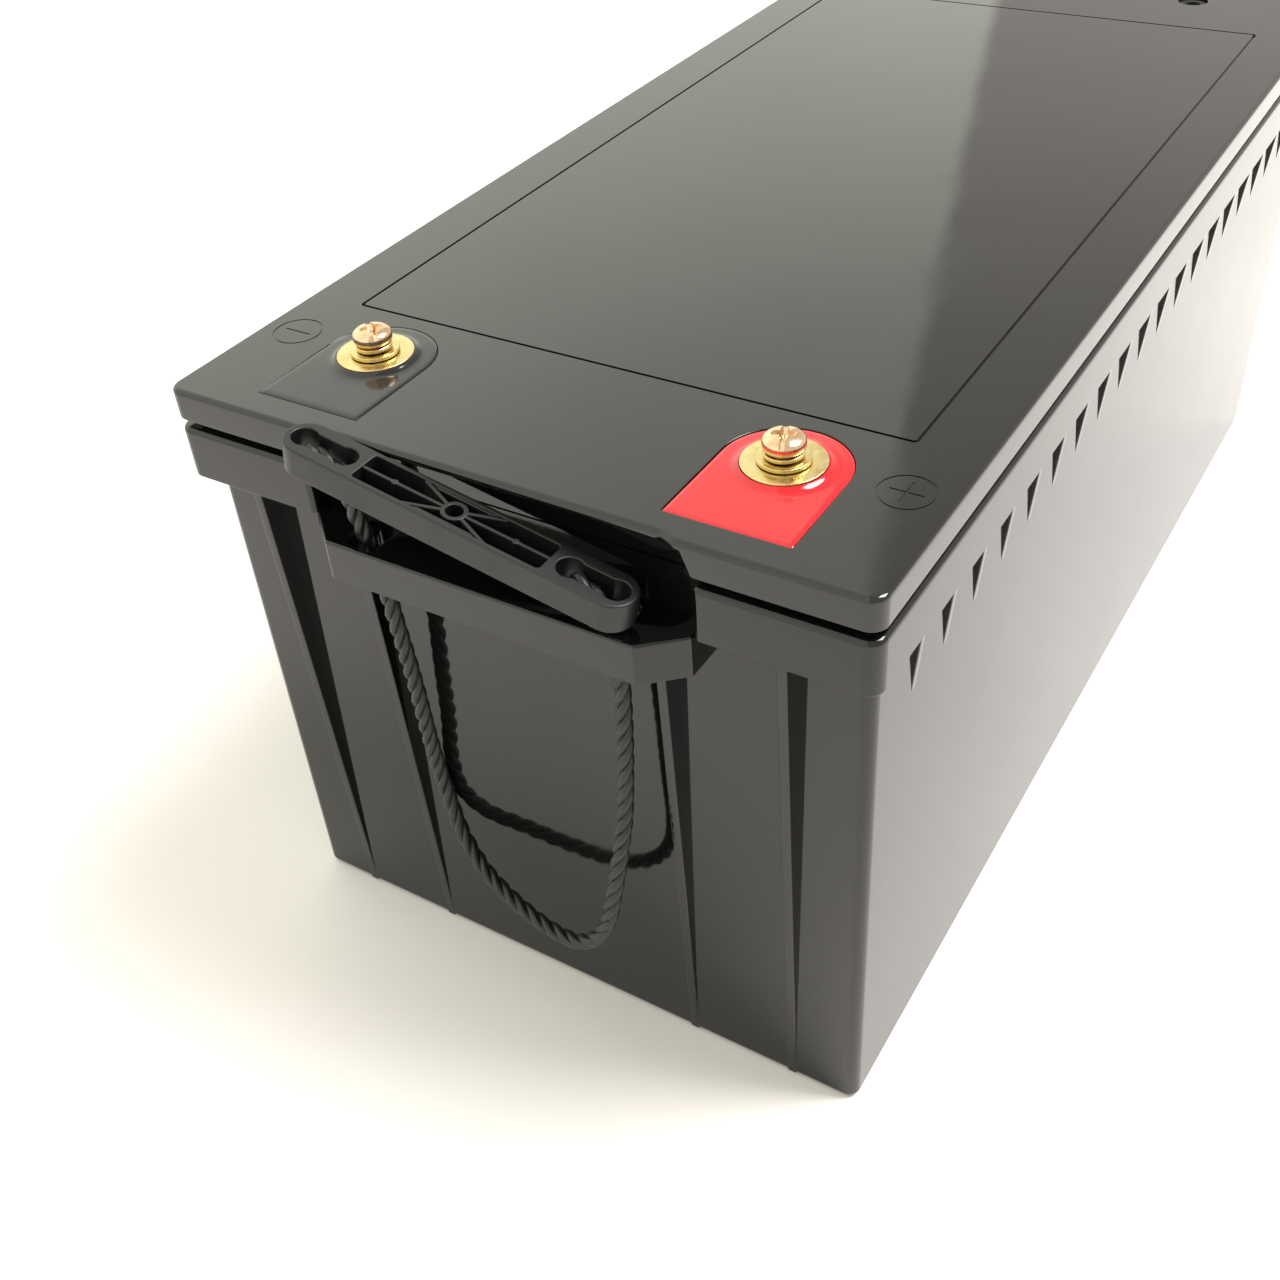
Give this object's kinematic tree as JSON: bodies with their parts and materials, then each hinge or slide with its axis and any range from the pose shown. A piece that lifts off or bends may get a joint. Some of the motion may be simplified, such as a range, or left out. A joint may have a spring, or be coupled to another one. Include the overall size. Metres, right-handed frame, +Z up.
{
  "type": "sealed storage battery",
  "caption": "Sealed rectangular storage battery: ribbed glossy case, bolted top terminals in resin-filled wells and a rope handle with a moulded grip at each end.",
  "frame": {"origin": "middle of the footprint, on the surface the battery stands on", "axes": "+X along the case away from the terminals, +Y from the positive terminal to the negative one, +Z up"},
  "size_m": [0.5301, 0.24, 0.2303],
  "materials": {
    "abs_case": "glossy moulded",
    "grip_plastic": "satin moulded",
    "rope": "three-strand laid",
    "red_resin": "poured glossy resin",
    "black_resin": "poured glossy resin",
    "zinc_hardware": "yellow zinc plated",
    "brass_bush": "turned",
    "copper_link": null,
    "steel": "bright",
    "aluminium": "satin",
    "cell_can": "aluminium can in a blue film",
    "circuit_board": "solder mask",
    "glass_board": "epoxy glass sheet",
    "foam": "closed-cell foam",
    "rubber_plug": "matt",
    "red_wire": "silicone insulation",
    "black_wire": "silicone insulation",
    "grey_wire": "taped loom"
  },
  "bodies": {
    "battery": {"case": "abs_case", "lid": "abs_case", "positive_well_fill": "red_resin", "positive_terminal_bush": "brass_bush", "positive_flat_washer": "zinc_hardware", "positive_lug_screw": "steel", "negative_well_fill": "black_resin", "negative_terminal_bush": "brass_bush", "negative_flat_washer": "zinc_hardware", "negative_lug_screw": "steel", "front_end_plate": "aluminium", "front_foam": "foam", "rear_end_plate": "aluminium", "rear_foam": "foam", "vent_plug": "rubber_plug", "base_pad": "foam", "cell_1": "cell_can", "cell_2": "cell_can", "cell_3": "cell_can", "cell_4": "cell_can", "busbar_1": "copper_link", "cell_separator_1": "glass_board", "busbar_2": "copper_link", "cell_separator_2": "glass_board", "busbar_3": "copper_link", "cell_separator_3": "glass_board", "post_nut_1": "steel", "post_nut_2": "steel", "post_nut_3": "steel", "post_nut_4": "steel", "post_nut_5": "steel", "post_nut_6": "steel", "post_nut_7": "steel", "post_nut_8": "steel", "lower_band": "steel", "upper_band": "steel", "management_board": "circuit_board", "heat_sink": "aluminium", "positive_lead": "red_wire", "negative_lead": "black_wire", "cell_lead": "black_wire", "sense_harness": "grey_wire"},
    "positive_washers": {"positive_small_washer": "zinc_hardware", "positive_spring_washer": "zinc_hardware"},
    "positive_screw": {"positive_bolt": "zinc_hardware"},
    "negative_washers": {"negative_small_washer": "zinc_hardware", "negative_spring_washer": "zinc_hardware"},
    "negative_screw": {"negative_bolt": "zinc_hardware"},
    "front_handle": {"front_grip": "grip_plastic", "front_rope": "rope"},
    "rear_handle": {"rear_grip": "grip_plastic", "rear_rope": "rope"}
  },
  "joints": [
    {"name": "positive_washers_lift", "type": "slide", "parent": "battery", "child": "positive_washers", "axis": [0, 0, 1], "range_m": [0, 0.012]},
    {"name": "positive_bolt_turn", "type": "hinge", "parent": "positive_washers", "child": "positive_screw", "pos_m": [-0.2068, -0.0713, 0.226], "axis": [0, 0, 1], "range_deg": [0, 4320]},
    {"name": "negative_washers_lift", "type": "slide", "parent": "battery", "child": "negative_washers", "axis": [0, 0, 1], "range_m": [0, 0.012]},
    {"name": "negative_bolt_turn", "type": "hinge", "parent": "negative_washers", "child": "negative_screw", "pos_m": [-0.2068, 0.0713, 0.226], "axis": [0, 0, 1], "range_deg": [0, 4320]},
    {"name": "front_handle_lift", "type": "slide", "parent": "battery", "child": "front_handle", "axis": [0, 0, 1], "range_m": [0, 0.06]},
    {"name": "rear_handle_lift", "type": "slide", "parent": "battery", "child": "rear_handle", "axis": [0, 0, 1], "range_m": [0, 0.06]}
  ],
  "couplings": [
    {"joint": "positive_bolt_turn", "follows": "positive_washers_lift", "rad_per_m": 6283.2},
    {"joint": "negative_bolt_turn", "follows": "negative_washers_lift", "rad_per_m": 6283.2}
  ]
}
